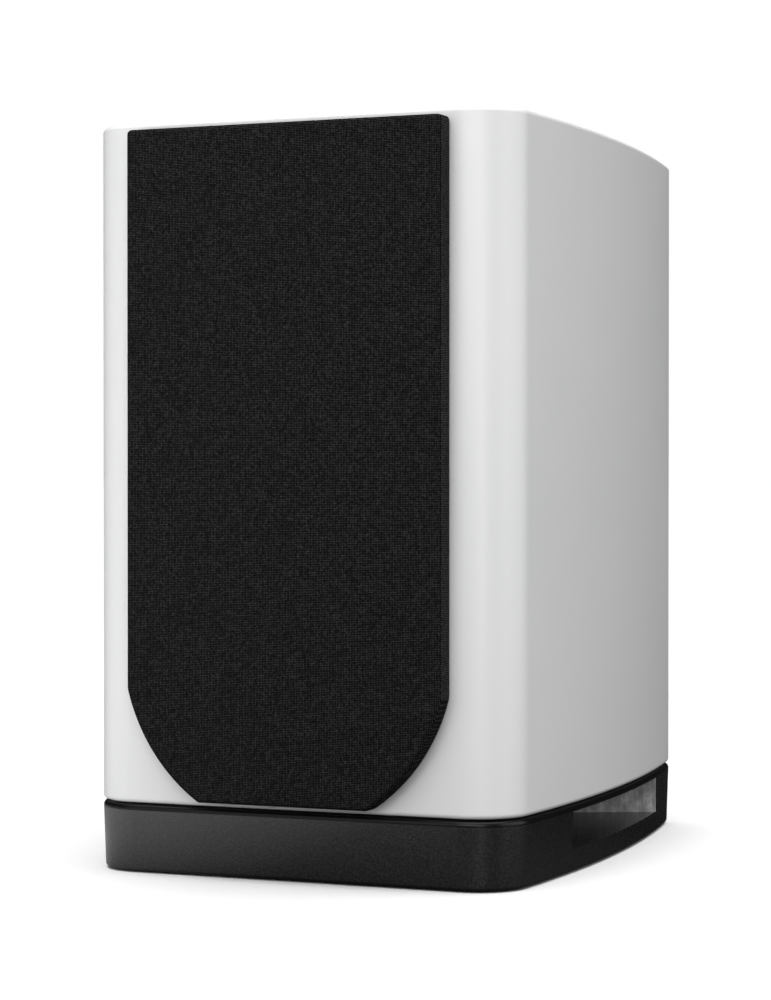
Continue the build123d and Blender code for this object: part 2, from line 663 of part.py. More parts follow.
outside = fillet(front_edges(grille_slab(0, grille_front, grille_back)), grille_roll_r)
frame = fillet(front_edges(grille_slab(cloth_t, grille_front + cloth_t, grille_back - cloth_t)),
               grille_roll_r - cloth_t)
cloth = outside - frame - grille_slab(7, grille_back - 2, grille_back + 1)
save("grille_cloth", *cloth.solids())

frame -= rod_y(frame_r + 1.5, -20, 5, 0, woofer_z)
frame -= rounded_plate(104, 82, 8, -20, 5, 0, tweeter_z)
for x, z in magnet_xz:
    frame -= rod_y(magnet_r + 0.1, grille_back - cloth_t - 3, 5, x, z)
save("grille_frame", *frame.solids())

save("grille_magnets", *[rod_y(magnet_r, -4.4, grille_back - cloth_t, x, z)
                         for x, z in magnet_xz])
save("keeper_magnets", *[rod_y(magnet_r, 1.5, 4.5, x, z) for x, z in magnet_xz])
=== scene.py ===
import bpy
import json
import math
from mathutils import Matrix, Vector
from mathutils.geometry import tessellate_polygon


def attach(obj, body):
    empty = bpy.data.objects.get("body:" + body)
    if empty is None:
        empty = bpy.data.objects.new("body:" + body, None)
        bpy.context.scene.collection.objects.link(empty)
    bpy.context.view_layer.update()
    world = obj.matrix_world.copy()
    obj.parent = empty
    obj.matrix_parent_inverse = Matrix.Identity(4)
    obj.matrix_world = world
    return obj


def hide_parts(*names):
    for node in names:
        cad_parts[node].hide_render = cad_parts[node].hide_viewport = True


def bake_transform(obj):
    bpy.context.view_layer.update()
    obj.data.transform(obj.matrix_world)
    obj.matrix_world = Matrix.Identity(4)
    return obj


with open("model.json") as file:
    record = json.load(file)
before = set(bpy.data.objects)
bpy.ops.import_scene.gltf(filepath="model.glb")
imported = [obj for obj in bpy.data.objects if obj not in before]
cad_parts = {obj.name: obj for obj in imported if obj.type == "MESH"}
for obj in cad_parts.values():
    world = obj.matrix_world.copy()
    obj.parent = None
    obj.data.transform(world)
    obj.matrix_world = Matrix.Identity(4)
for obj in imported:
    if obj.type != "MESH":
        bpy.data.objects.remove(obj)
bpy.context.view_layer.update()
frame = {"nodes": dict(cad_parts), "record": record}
nodes = frame["nodes"]
scene = bpy.context.scene

# Sizes are in millimetres, with y = 0 on the baffle's face; place() moves them to the frame.
MM = 0.001
BORE_STEPS = 48
Y_SHIFT = -137.2
TOTAL_H = 337.2
CAB_W = 210.0
CAB_D = 283.0
CAB_Z0 = 31.7
PANEL_T = 18.0
BAFFLE_T = 26.0
SIDE_R = 981.0
WIDEST_Y = 78.9
FRONT_R = 24.1
REAR_R = 16.0
EDGE_R = 2.0
CENTRE_X = CAB_W / 2 - SIDE_R
CAB_TOP = TOTAL_H - PANEL_T
FLOOR_TOP = CAB_Z0 + PANEL_T
CAB_BACK = CAB_D - PANEL_T
WOOFER_Z = 160.0
TWEETER_Z = 273.0
PORT_Y = 130.0


def place(p):
    return (p[0] * MM, (p[1] + Y_SHIFT) * MM, p[2] * MM)


# ------------------------------------------------------------------ meshes
class Shell:
    """Faces in millimetres, with a normal for every corner, turned to face outwards."""

    def __init__(self):
        self.index = {}
        self.points = []
        self.faces = []
        self.normals = []

    def vert(self, p):
        key = tuple(round(c, 3) for c in p)
        if key not in self.index:
            self.index[key] = len(self.points)
            self.points.append(p)
        return self.index[key]

    def face(self, corners, normals):
        """normals is one normal for a flat face, or one for each corner."""
        if not hasattr(normals[0], "__len__"):
            normals = [normals] * len(corners)
        ids, ns = [], []
        for p, n in zip(corners, normals):
            i = self.vert(p)
            if i not in ids:
                ids.append(i)
                ns.append(n)
        if len(ids) < 3:
            return
        pts = [Vector(self.points[i]) for i in ids]
        area = Vector((0, 0, 0))
        for a, b in zip(pts[1:], pts[2:]):
            area += (a - pts[0]).cross(b - pts[0])
        if area.dot(sum((Vector(n) for n in ns), Vector((0, 0, 0)))) < 0:
            ids.reverse()
            ns.reverse()
        self.faces.append(ids)
        self.normals.extend(ns)

    def strip(self, a, b, na, nb, closed=False):
        """Quads between two rows of points."""
        count = len(a)
        for i in range(count if closed else count - 1):
            j = (i + 1) % count
            self.face([a[i], a[j], b[j], b[i]], [na[i], na[j], nb[j], nb[i]])

    def flat(self, loops, normal):
        """Flat area inside the first loop and outside the others."""
        every = [p for loop in loops for p in loop]
        for tri in tessellate_polygon([[Vector(p) for p in loop] for loop in loops]):
            self.face([every[i] for i in tri], normal)

    def tube_y(self, ring, y0, y1):
        """Wall along Y around a hole, from (x, z, nx, nz) points."""
        n = [(-p[2], 0, -p[3]) for p in ring]
        self.strip([(p[0], y0, p[1]) for p in ring], [(p[0], y1, p[1]) for p in ring], n, n, True)

    def object(self, name):
        mesh = bpy.data.meshes.new(name)
        mesh.from_pydata([place(p) for p in self.points], [], self.faces)
        mesh.polygons.foreach_set("use_smooth", [True] * len(mesh.polygons))
        mesh.normals_split_custom_set(self.normals)
        mesh.update()
        made = bpy.data.objects.new(name, mesh)
        scene.collection.objects.link(made)
        return made


def finish_piece(made, body, slot, replaced):
    made.data.materials.append(MATERIALS[slot])
    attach(made, body)
    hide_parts(replaced)


def turned(profile, z, steps):
    """Shell turned about an axis along Y at height z, from a closed list of (radius, y, smooth) corners.

    smooth says that the surface runs on through the corner without an edge."""
    shell = Shell()
    count = len(profile)
    flats = []
    for i in range(count):
        (r0, y0, _), (r1, y1, _) = profile[i], profile[(i + 1) % count]
        length = math.hypot(r1 - r0, y1 - y0) or 1.0
        flats.append(((y1 - y0) / length, -(r1 - r0) / length))
    turn = sum(a[0] * b[1] - b[0] * a[1] for a, b in zip(profile, profile[1:] + profile[:1]))
    sign = 1 if turn > 0 else -1
    flats = [(sign * a, sign * b) for a, b in flats]

    def at(i, k):
        """Normal of edge k at corner i."""
        if not profile[i][2]:
            return flats[k]
        a, b = flats[i - 1], flats[i]
        n = (a[0] + b[0], a[1] + b[1])
        length = math.hypot(*n) or 1.0
        return (n[0] / length, n[1] / length)

    for k in range(count):
        j = (k + 1) % count
        n0, n1 = at(k, k), at(j, k)
        rows = []
        for (r, y, _), n in ((profile[k], n0), (profile[j], n1)):
            ring, ns = [], []
            for s in range(steps):
                a = 2 * math.pi * s / steps
                c, d = math.cos(a), math.sin(a)
                ring.append((r * c, y, z + r * d))
                ns.append((n[0] * c, n[1], n[0] * d))
            rows.append((ring, ns))
        shell.strip(rows[0][0], rows[1][0], rows[0][1], rows[1][1], True)
    return shell


# ------------------------------------------------------------------ plan outline of the cabinet
def arc(cx, cy, r, a0, a1, steps):
    out = []
    for i in range(steps + 1):
        a = a0 + (a1 - a0) * i / steps
        out.append((cx + r * math.cos(a), cy + r * math.sin(a), math.cos(a), math.sin(a)))
    return out


def half_plan(y0, y1, inset=0.0, rf=0.0, rr=0.0):
    """Right half of the plan from the front to the back, as (x, y, nx, ny)."""
    rs = SIDE_R - inset
    out = []
    a_start = math.asin((y0 - WIDEST_Y) / rs)
    a_end = math.asin((y1 - WIDEST_Y) / rs)
    tail = []
    if rf:
        yc = y0 + rf
        xc = CENTRE_X + math.sqrt((rs - rf) ** 2 - (yc - WIDEST_Y) ** 2)
        a_start = math.atan2(yc - WIDEST_Y, xc - CENTRE_X)
        out += arc(xc, yc, rf, -math.pi / 2, a_start, 20)[:-1]
    if rr:
        yc = y1 - rr
        xc = CENTRE_X + math.sqrt((rs - rr) ** 2 - (yc - WIDEST_Y) ** 2)
        a_end = math.atan2(yc - WIDEST_Y, xc - CENTRE_X)
        tail = arc(xc, yc, rr, a_end, math.pi / 2, 16)[1:]
    out += arc(CENTRE_X, WIDEST_Y, rs, a_start, a_end, 40) + tail
    return out


def mirrored(half):
    return half + [(-x, y, -nx, ny) for x, y, nx, ny in reversed(half)]


def circle(x, z, r, steps=64):
    out = []
    for i in range(steps):
        a = 2 * math.pi * i / steps
        out.append((x + r * math.cos(a), z + r * math.sin(a), math.cos(a), math.sin(a)))
    return out


def rounded_rect(w, h, r, x=0.0, z=0.0, steps=8):
    out = []
    for cx, cz, a0 in ((1, 1, 0), (-1, 1, 90), (-1, -1, 180), (1, -1, 270)):
        a = math.radians(a0)
        out += arc(x + cx * (w / 2 - r), z + cz * (h / 2 - r), r, a, a + math.pi / 2, steps)
    return out


def at_z(outline, z, inset=0.0):
    return [(x - nx * inset, y - ny * inset, z) for x, y, nx, ny in outline]


def level_normals(outline, up=0.0):
    flat = math.sqrt(1 - up * up)
    return [(nx * flat, ny * flat, up) for _, _, nx, ny in outline]


def rounded_slab(outline, z_flat, z_edge, r, holes=()):
    """Panel with its outer edge rounded at z_edge. holes are (x, y, r, z_from, z_to) bores."""
    s = 1 if z_edge > z_flat else -1
    shell = Shell()
    steps = 6
    rows = [(at_z(outline, z_flat), level_normals(outline))]
    for i in range(steps + 1):
        a = math.pi / 2 * i / steps
        rows.append((at_z(outline, z_edge - s * r * (1 - math.sin(a)), r * (1 - math.cos(a))),
                     level_normals(outline, s * math.sin(a))))
    for (a, na), (b, nb) in zip(rows, rows[1:]):
        shell.strip(a, b, na, nb, True)
    flat_holes, edge_holes = [], []
    for x, y, hole_r, z_from, z_to in holes:
        ring = circle(x, y, hole_r, BORE_STEPS)
        lower, upper = at_z(ring, z_from), at_z(ring, z_to)
        inner = [(-p[2], -p[3], 0) for p in ring]
        shell.strip(lower, upper, inner, inner, True)
        for z, loop in ((z_from, lower), (z_to, upper)):
            if abs(z - z_flat) < 0.01:
                flat_holes.append(loop)
            elif abs(z - z_edge) < 0.01:
                edge_holes.append(loop)
            else:
                radii = [h[2] for h in holes if h[:2] == (x, y)]
                narrower = [at_z(circle(x, y, r2, BORE_STEPS), z) for r2 in radii if r2 < hole_r]
                if narrower or len(radii) == 1:
                    shell.flat([loop] + narrower, (0, 0, -1))
    shell.flat([rows[0][0]] + flat_holes, (0, 0, -s))
    shell.flat([rows[-1][0]] + edge_holes, (0, 0, s))
    return shell


# ------------------------------------------------------------------ materials
class Finish:
    """A Principled material with short calls for its nodes."""

    def __init__(self, name, color, rough, **constants):
        self.mat = bpy.data.materials.new(name)
        self.mat.use_nodes = True
        self.tree = self.mat.node_tree
        self.shader = self.tree.nodes["Principled BSDF"]
        self.shader.inputs["Base Color"].default_value = (*color, 1)
        self.shader.inputs["Roughness"].default_value = rough
        for key, value in constants.items():
            self.shader.inputs[key.replace("_", " ")].default_value = value
        self.object = self.node("ShaderNodeTexCoord").outputs["Object"]

    def node(self, kind, inputs=(), **attributes):
        made = self.tree.nodes.new(kind)
        for key, value in attributes.items():
            setattr(made, key, value)
        for key, value in dict(inputs).items():
            if hasattr(value, "is_output"):
                self.tree.links.new(value, made.inputs[key])
            else:
                made.inputs[key].default_value = value
        return made

    def scaled(self, x, y, z):
        return self.node("ShaderNodeMapping", {"Vector": self.object, "Scale": (x, y, z)}).outputs[0]

    def noise(self, scale, detail=2.0, vector=None, rough=0.5):
        made = self.node("ShaderNodeTexNoise", {"Vector": vector or self.object, "Scale": scale,
                                                "Detail": detail, "Roughness": rough})
        return made.outputs["Fac"]

    def voronoi(self, scale, feature="F1"):
        made = self.node("ShaderNodeTexVoronoi", {"Vector": self.object, "Scale": scale}, feature=feature)
        return made.outputs["Distance"]

    def wave(self, scale, axis):
        made = self.node("ShaderNodeTexWave", {"Vector": self.object, "Scale": scale}, bands_direction=axis)
        return made.outputs["Fac"]

    def math(self, operation, a, b=0.0):
        return self.node("ShaderNodeMath", {0: a, 1: b}, operation=operation).outputs[0]

    def span(self, value, low, high, to_low, to_high):
        return self.node("ShaderNodeMapRange", {0: value, 1: low, 2: high, 3: to_low, 4: to_high}).outputs[0]

    def colors(self, value, *stops):
        ramp = self.node("ShaderNodeValToRGB", {"Fac": value})
        band = ramp.color_ramp
        while len(band.elements) < len(stops):
            band.elements.new(0.5)
        for element, (position, color) in zip(band.elements, stops):
            element.position = position
            element.color = (*color, 1)
        self.tree.links.new(ramp.outputs["Color"], self.shader.inputs["Base Color"])

    def roughness(self, value, low, high, rough_low, rough_high):
        self.tree.links.new(self.span(value, low, high, rough_low, rough_high),
                            self.shader.inputs["Roughness"])

    def bump(self, height, distance, strength=1.0):
        made = self.node("ShaderNodeBump", {"Height": height, "Distance": distance, "Strength": strength})
        self.tree.links.new(made.outputs["Normal"], self.shader.inputs["Normal"])

    def specular(self, level):
        self.shader.inputs["Specular IOR Level"].default_value = level


def grey(v):
    return (v, v, v)


def tinted(color, k):
    return tuple(min(1.0, c * k) for c in color)


def grained(name, color, rough, grain=1400.0, depth=0.00003, spread=0.12, **constants):
    """Moulded or coated surface: fine grain, soft mottling in colour and gloss."""
    f = Finish(name, color, rough, **constants)
    fine = f.noise(grain, 3.0)
    broad = f.noise(28.0, 4.0)
    f.colors(broad, (0.3, tinted(color, 1 - spread)), (0.7, tinted(color, 1 + spread)))
    f.roughness(fine, 0.3, 0.7, rough * 0.88, min(1.0, rough * 1.15))
    f.bump(fine, depth)
    return f.mat


def brushed(name, color, rough, stretch=(60, 3000, 3000), depth=0.000008, **constants):
    """Metal with fine straight marks."""
    f = Finish(name, color, rough, Metallic=1.0, **constants)
    marks = f.noise(1.0, 3.0, f.scaled(*stretch))
    f.colors(f.noise(40.0, 3.0), (0.3, tinted(color, 0.9)), (0.7, tinted(color, 1.06)))
    f.roughness(marks, 0.3, 0.7, rough * 0.8, rough * 1.3)
    f.bump(marks, depth)
    return f.mat


def lacquer():
    """White satin lacquer: almost flat, with the faintest orange peel."""
    f = Finish("lacquer_white", grey(0.84), 0.42, Coat_Weight=0.35, Coat_Roughness=0.26)
    broad = f.noise(9.0, 3.0)
    f.colors(broad, (0.35, (0.835, 0.838, 0.842)), (0.65, (0.85, 0.85, 0.85)))
    f.roughness(f.noise(60.0, 3.0), 0.3, 0.7, 0.4, 0.45)
    f.bump(f.noise(420.0, 2.0), 0.0000025)
    return f.mat


def grille_weave():
    """Black acoustic cloth: a fine even weave, with uneven lighter threads showing."""
    f = Finish("grille_cloth", grey(0.012), 1.0)
    f.specular(0.05)
    warp = f.wave(420.0, "X")
    weft = f.wave(420.0, "Z")
    threads = f.math("MULTIPLY", warp, weft)
    speckle = f.noise(900.0, 2.0, rough=0.7)
    mixed = f.math("ADD", f.math("MULTIPLY", threads, 0.35), f.math("MULTIPLY", speckle, 0.65))
    f.colors(mixed, (0.36, grey(0.004)), (0.5, grey(0.014)), (0.64, grey(0.06)))
    f.bump(mixed, 0.00025, 0.8)
    return f.mat


def plinth_paint():
    """Near-black textured paint with a sand-like grain."""
    f = Finish("plinth_grey", grey(0.006), 0.36)
    f.specular(0.9)
    sand = f.noise(1100.0, 4.0, rough=0.65)
    pits = f.voronoi(900.0)
    both = f.math("ADD", f.math("MULTIPLY", sand, 0.7), f.math("MULTIPLY", pits, 0.5))
    f.colors(both, (0.3, grey(0.002)), (0.55, grey(0.004)), (0.8, grey(0.011)))
    f.roughness(sand, 0.3, 0.7, 0.2, 0.32)
    f.bump(both, 0.00006, 0.6)
    return f.mat


def shaded_plinth_rim():
    """Smooth near-black rim of the cover plate under the cabinet, darker than the plinth paint: partly the
    plate's own black, partly painted shade of the gap under the cabinet.
    """
    f = Finish("shaded_plinth_rim", grey(0.002), 0.3)
    f.specular(0.25)
    fine = f.noise(900.0)
    f.colors(fine, (0.3, grey(0.0015)), (0.7, grey(0.004)))
    f.bump(fine, 0.00002)
    return f.mat


def scuffed_grey():
    """Grey deflector wall with fine upright scratches and blotches."""
    f = Finish("deflector_grey", grey(0.1), 0.4)
    scratches = f.noise(1.0, 4.0, f.scaled(500, 500, 60), 0.7)
    blotch = f.noise(160.0, 4.0, rough=0.7)
    both = f.math("ADD", f.math("MULTIPLY", scratches, 0.5), f.math("MULTIPLY", blotch, 0.5))
    f.colors(both, (0.33, grey(0.16)), (0.5, grey(0.38)), (0.66, grey(0.72)))
    f.roughness(scratches, 0.3, 0.7, 0.3, 0.55)
    f.bump(both, 0.0001, 0.5)
    return f.mat


def fibreboard():
    f = Finish("fibreboard", (0.42, 0.3, 0.18), 0.85)
    fibres = f.noise(700.0, 5.0, rough=0.7)
    f.colors(fibres, (0.3, (0.3, 0.2, 0.11)), (0.55, (0.44, 0.31, 0.18)), (0.75, (0.58, 0.44, 0.28)))
    f.bump(fibres, 0.00015, 0.6)
    return f.mat


def felt():
    f = Finish("damping_felt", grey(0.12), 1.0, Sheen_Weight=0.4)
    hairs = f.noise(500.0, 6.0, rough=0.75)
    f.colors(hairs, (0.3, grey(0.05)), (0.5, grey(0.12)), (0.72, grey(0.26)))
    f.bump(hairs, 0.0008, 0.9)
    return f.mat


def coiled_copper():
    f = Finish("copper", (0.72, 0.3, 0.13), 0.3, Metallic=1.0)
    turns = f.wave(900.0, "Y")
    f.colors(turns, (0.1, (0.35, 0.12, 0.05)), (0.6, (0.8, 0.36, 0.17)))
    f.roughness(turns, 0.0, 1.0, 0.45, 0.25)
    f.bump(turns, 0.0002)
    return f.mat


def paper_cone():
    """Dark pulp cone with fibres lying every way."""
    f = Finish("cone_dark", grey(0.03), 0.6)
    fibres = f.noise(420.0, 6.0, rough=0.75)
    strands = f.voronoi(260.0, feature="DISTANCE_TO_EDGE")
    both = f.math("SUBTRACT", fibres, f.math("MULTIPLY", strands, 0.25))
    f.colors(both, (0.3, grey(0.018)), (0.55, grey(0.034)), (0.75, grey(0.075)))
    f.roughness(fibres, 0.3, 0.7, 0.45, 0.7)
    f.bump(both, 0.00035, 0.7)
    return f.mat


def circuit_board():
    f = Finish("board_green", (0.02, 0.12, 0.05), 0.35, Coat_Weight=0.3)
    cells = f.node("ShaderNodeTexBrick", {"Vector": f.object, "Scale": 60.0,
                                          "Mortar Size": 0.03}).outputs["Fac"]
    f.colors(cells, (0.0, (0.015, 0.1, 0.04)), (1.0, (0.05, 0.2, 0.09)))
    f.bump(f.noise(900.0, 3.0), 0.00003)
    return f.mat


def pleated_film():
    f = Finish("film_amber", (0.5, 0.27, 0.08), 0.3, Coat_Weight=0.4)
    traces = f.wave(160.0, "Z")
    f.colors(traces, (0.25, (0.55, 0.3, 0.09)), (0.55, (0.7, 0.68, 0.62)))
    f.roughness(f.noise(600.0), 0.3, 0.7, 0.22, 0.36)
    f.bump(traces, 0.00004)
    return f.mat


MATERIALS = {
    "lacquer_white": lacquer(),
    "grille_cloth": grille_weave(),
    "plinth_grey": plinth_paint(),
    "shaded_plinth_rim": shaded_plinth_rim(),
    "deflector_grey": scuffed_grey(),
    "fibreboard": fibreboard(),
    "damping_felt": felt(),
    "copper": coiled_copper(),
    "cone_dark": paper_cone(),
    "board_green": circuit_board(),
    "film_amber": pleated_film(),
    "grille_plastic": grained("grille_plastic", grey(0.018), 0.5, 900.0, 0.00005),
    "magnet_nickel": brushed("magnet_nickel", (0.72, 0.7, 0.66), 0.25),
    "rubber_black": grained("rubber_black", grey(0.018), 0.62, 700.0, 0.00006),
    "foam_black": grained("foam_black", grey(0.02), 0.95, 900.0, 0.0003),
    "steel_zinc": brushed("steel_zinc", (0.62, 0.63, 0.65), 0.35),
    "screw_black": grained("screw_black", grey(0.022), 0.35, 1800.0, 0.00002),
    "basket_grey": grained("basket_grey", grey(0.06), 0.5, 1000.0, 0.00006, Metallic=0.3),
    "ferrite": grained("ferrite", grey(0.045), 0.55, 1400.0, 0.00008),
    "cap_dark": grained("cap_dark", grey(0.022), 0.3, 700.0, 0.00002, Coat_Weight=0.3),
    "spider_cloth": grained("spider_cloth", (0.3, 0.17, 0.07), 0.9, 1800.0, 0.0002, 0.25),
    "faceplate_black": grained("faceplate_black", grey(0.02), 0.42, 1500.0, 0.00004),
    "chamber_black": grained("chamber_black", grey(0.025), 0.48, 1300.0, 0.00004),
    "capacitor_film": grained("capacitor_film", (0.28, 0.05, 0.04), 0.35, 500.0, 0.00003, Coat_Weight=0.3),
    "resistor_ceramic": grained("resistor_ceramic", (0.62, 0.6, 0.55), 0.8, 900.0, 0.0001),
    "nylon_white": grained("nylon_white", (0.7, 0.69, 0.65), 0.5, 700.0, 0.00003),
    "cup_black": grained("cup_black", grey(0.02), 0.45, 1200.0, 0.00005),
    "gold_plate": brushed("gold_plate", (0.86, 0.62, 0.26), 0.2, (2500, 80, 2500), 0.000004),
    "cap_red": grained("cap_red", (0.42, 0.012, 0.01), 0.25, 800.0, 0.00001, Coat_Weight=0.5),
    "cap_black": grained("cap_black", grey(0.016), 0.25, 800.0, 0.00001, Coat_Weight=0.5),
    "wire_sleeve": grained("wire_sleeve", (0.3, 0.02, 0.02), 0.4, 600.0, 0.00003),
    "terminal_tin": brushed("terminal_tin", (0.75, 0.74, 0.7), 0.3),
}

# ------------------------------------------------------------------ looks of the CAD nodes
node_slot = {p["node"]: p["material_slot"] for p in frame["record"]["subparts"]}
# The cover plate shares the plinth's slot, but its rim is smoother and darker; the extra darkness is partly
# painted shade of the gap between the cabinet and the plinth.
node_slot["plinth_cover"] = "shaded_plinth_rim"
for node_name, cad in nodes.items():
    material = MATERIALS[node_slot[node_name]]
    if not cad.material_slots:
        cad.data.materials.append(material)
    for place_for_material in cad.material_slots:
        place_for_material.material = material
    cad.data.polygons.foreach_set("use_smooth", [True] * len(cad.data.polygons))
    weighted = cad.modifiers.new("even_normals", "WEIGHTED_NORMAL")
    weighted.keep_sharp = True

# ------------------------------------------------------------------ cabinet panels
PLINTH_SCREWS = [(-58, 38), (58, 38), (-56, 257), (56, 257)]
SCREW_BORE_R = 2.1
SCREW_BORE_DEPTH = 13
PORT_FLANGE_BORE_R = 36.2
PORT_FLANGE_DEPTH = 6
PORT_BORE_R = 24.5
WOOFER_CUT_R = 60.0
WOOFER_STEP_R = 67.3
WOOFER_STEP_DEPTH = 5
# Width, height and corner radius of the rectangular openings.
PLATE_STEP = (96.6, 74.6, 6.3)
PLATE_STEP_DEPTH = 4
PLATE_CUT = (80.0, 58.0, 4.0)
CUP_CUT = (90.4, 82.4, 8.0)
CUP_Z = 120.0


def lacquered(shell, name, replaced):
    finish_piece(shell.object(name), "cabinet", "lacquer_white", replaced)


def wall(shell, outline, turn=1):
    """Upright wall along a plan line, between the bottom and the top panel."""
    n = [(turn * p[2], turn * p[3], 0) for p in outline]
    shell.strip(at_z(outline, FLOOR_TOP), at_z(outline, CAB_TOP), n, n)


def ends(shell, outline):
    """Flat lower and upper end of an upright panel."""
    for z, up in ((FLOOR_TOP, -1), (CAB_TOP, 1)):
        shell.flat([at_z(outline, z)], (0, 0, up))


def level(ring, y):
    return [(p[0], y, p[1]) for p in ring]


def upright_sheet(x, y):
    return [(-x, y, FLOOR_TOP), (x, y, FLOOR_TOP), (x, y, CAB_TOP), (-x, y, CAB_TOP)]


def baffle_shell():
    """Front board with rounded front corners and a stepped opening for each driver."""
    shell = Shell()
    half = half_plan(0, BAFFLE_T, 0, FRONT_R, 0)
    outline = mirrored(half)
    wall(shell, outline)
    ends(shell, outline)
    woofer_cut = circle(0, WOOFER_Z, WOOFER_CUT_R, 96)
    woofer_step = circle(0, WOOFER_Z, WOOFER_STEP_R, 96)
    plate_step = rounded_rect(*PLATE_STEP, 0, TWEETER_Z)
    plate_cut = rounded_rect(*PLATE_CUT, 0, TWEETER_Z)
    for ring, y0, y1 in ((woofer_step, 0, WOOFER_STEP_DEPTH), (woofer_cut, WOOFER_STEP_DEPTH, BAFFLE_T),
                         (plate_step, 0, PLATE_STEP_DEPTH), (plate_cut, PLATE_STEP_DEPTH, BAFFLE_T)):
        shell.tube_y(ring, y0, y1)
    front, back = upright_sheet(half[0][0], 0), upright_sheet(half[-1][0], BAFFLE_T)
    shell.flat([front, level(woofer_step, 0), level(plate_step, 0)], (0, -1, 0))
    shell.flat([back, level(woofer_cut, BAFFLE_T), level(plate_cut, BAFFLE_T)], (0, 1, 0))
    for step, cut, y in ((woofer_step, woofer_cut, WOOFER_STEP_DEPTH),
                         (plate_step, plate_cut, PLATE_STEP_DEPTH)):
        shell.flat([level(step, y), level(cut, y)], (0, -1, 0))
    return shell


def side_shell(side):
    """Side panel from behind the baffle round to the rear, side is 1 for the right."""
    shell = Shell()
    outer = half_plan(BAFFLE_T, CAB_D, 0, 0, REAR_R)
    inner = half_plan(BAFFLE_T, CAB_D, PANEL_T, 0, 0)
    outer = [(side * x, y, side * nx, ny) for x, y, nx, ny in outer]
    inner = [(side * x, y, side * nx, ny) for x, y, nx, ny in inner]
    wall(shell, outer)
    wall(shell, inner, turn=-1)
    ends(shell, outer + inner[::-1])
    for i, out_y in ((0, -1), (-1, 1)):
        a, b = outer[i], inner[i]
        corners = [(a[0], a[1], FLOOR_TOP), (b[0], b[1], FLOOR_TOP),
                   (b[0], b[1], CAB_TOP), (a[0], a[1], CAB_TOP)]
        shell.face(corners, (0, out_y, 0))
    return shell


def rear_shell():
    """Rear board between the side panels, with the opening for the terminal cup."""
    shell = Shell()
    outline = mirrored(half_plan(CAB_BACK, CAB_D, PANEL_T, 0, 0))
    half = len(outline) // 2
    wall(shell, outline[:half])
    wall(shell, outline[half:])
    ends(shell, outline)
    cut = rounded_rect(*CUP_CUT, 0, CUP_Z)
    shell.tube_y(cut, CAB_BACK, CAB_D)
    for y, x, out_y in ((CAB_BACK, outline[0][0], -1), (CAB_D, outline[half - 1][0], 1)):
        shell.flat([upright_sheet(x, y), level(cut, y)], (0, out_y, 0))
    return shell


whole_plan = mirrored(half_plan(0, CAB_D, 0, FRONT_R, REAR_R))
port_step_z = CAB_Z0 + PORT_FLANGE_DEPTH
bores = [(0, PORT_Y, PORT_FLANGE_BORE_R, CAB_Z0, port_step_z),
         (0, PORT_Y, PORT_BORE_R, port_step_z, FLOOR_TOP)]
bores += [(x, y, SCREW_BORE_R, CAB_Z0, CAB_Z0 + SCREW_BORE_DEPTH) for x, y in PLINTH_SCREWS]
lacquered(rounded_slab(whole_plan, CAB_TOP, TOTAL_H, EDGE_R), "cabinet_top", "top_panel")
lacquered(rounded_slab(whole_plan, FLOOR_TOP, CAB_Z0, EDGE_R, bores), "cabinet_bottom", "bottom_panel")
lacquered(baffle_shell(), "cabinet_baffle", "front_baffle")
for side, side_name in ((-1, "left"), (1, "right")):
    lacquered(side_shell(side), "cabinet_side_" + side_name, "side_panel_" + side_name)
lacquered(rear_shell(), "cabinet_rear", "rear_panel")

# ------------------------------------------------------------------ grille cloth
GRILLE_HW = 76.0
GRILLE_Z0 = 34.4
GRILLE_Z1 = 333.4
GRILLE_FRONT = -11.0
GRILLE_BACK = -0.6
CLOTH_T = 0.8
CLOTH_ROLL = 2.0         # rounding from the front onto the sides
CLOTH_TURN_IN = 7.0      # how far the cloth goes in behind the frame
HEM_R = 0.5              # rounding from the sides onto the back
HEM_MID = 0.15
GRILLE_CORNER_R = 2.2
SHOULDER_R = 10.0
SHOULDER_Z = 84.0
BOTTOM_HW = 40.7
BOW = (60.4, 52.4)


def circle_through(a, b, c):
    """Centre and radius of the circle through three points."""
    d = 2 * (a[0] * (b[1] - c[1]) + b[0] * (c[1] - a[1]) + c[0] * (a[1] - b[1]))
    sa, sb, sc = (p[0] ** 2 + p[1] ** 2 for p in (a, b, c))
    x = (sa * (b[1] - c[1]) + sb * (c[1] - a[1]) + sc * (a[1] - b[1])) / d
    z = (sa * (c[0] - b[0]) + sb * (a[0] - c[0]) + sc * (b[0] - a[0])) / d
    return x, z, math.hypot(a[0] - x, a[1] - z)


def grille_outline():
    """Closed outline as (x, z, nx, nz): round top corners, straight sides, bowed lower corners."""
    cx, cz, r = circle_through((GRILLE_HW, SHOULDER_Z), BOW, (BOTTOM_HW, GRILLE_Z0))
    corner_r = GRILLE_CORNER_R
    # Centre of each rounding lies its own radius inside both of the lines that it joins.
    sx = GRILLE_HW - SHOULDER_R
    sz = cz - math.sqrt((r - SHOULDER_R) ** 2 - (sx - cx) ** 2)
    fz = GRILLE_Z0 + corner_r
    fx = cx + math.sqrt((r - corner_r) ** 2 - (fz - cz) ** 2)
    foot_angle = math.atan2(fz - cz, fx - cx)
    shoulder_angle = math.atan2(sz - cz, sx - cx)
    half = arc(fx, fz, corner_r, -math.pi / 2, foot_angle, 8)
    half += arc(cx, cz, r, foot_angle, shoulder_angle, 24)[1:]
    half += arc(sx, sz, SHOULDER_R, shoulder_angle, 0.0, 8)[1:]
    half += arc(GRILLE_HW - corner_r, GRILLE_Z1 - corner_r, corner_r, 0.0, math.pi / 2, 8)
    return mirrored(half)


def across(shell, ring, normal):
    """Flat filling of a left-right symmetric ring, in bands from one half to the other."""
    half = len(ring) // 2
    right = ring[:half]
    left = ring[:half - 1:-1]
    shell.strip(right, left, [normal] * half, [normal] * half)


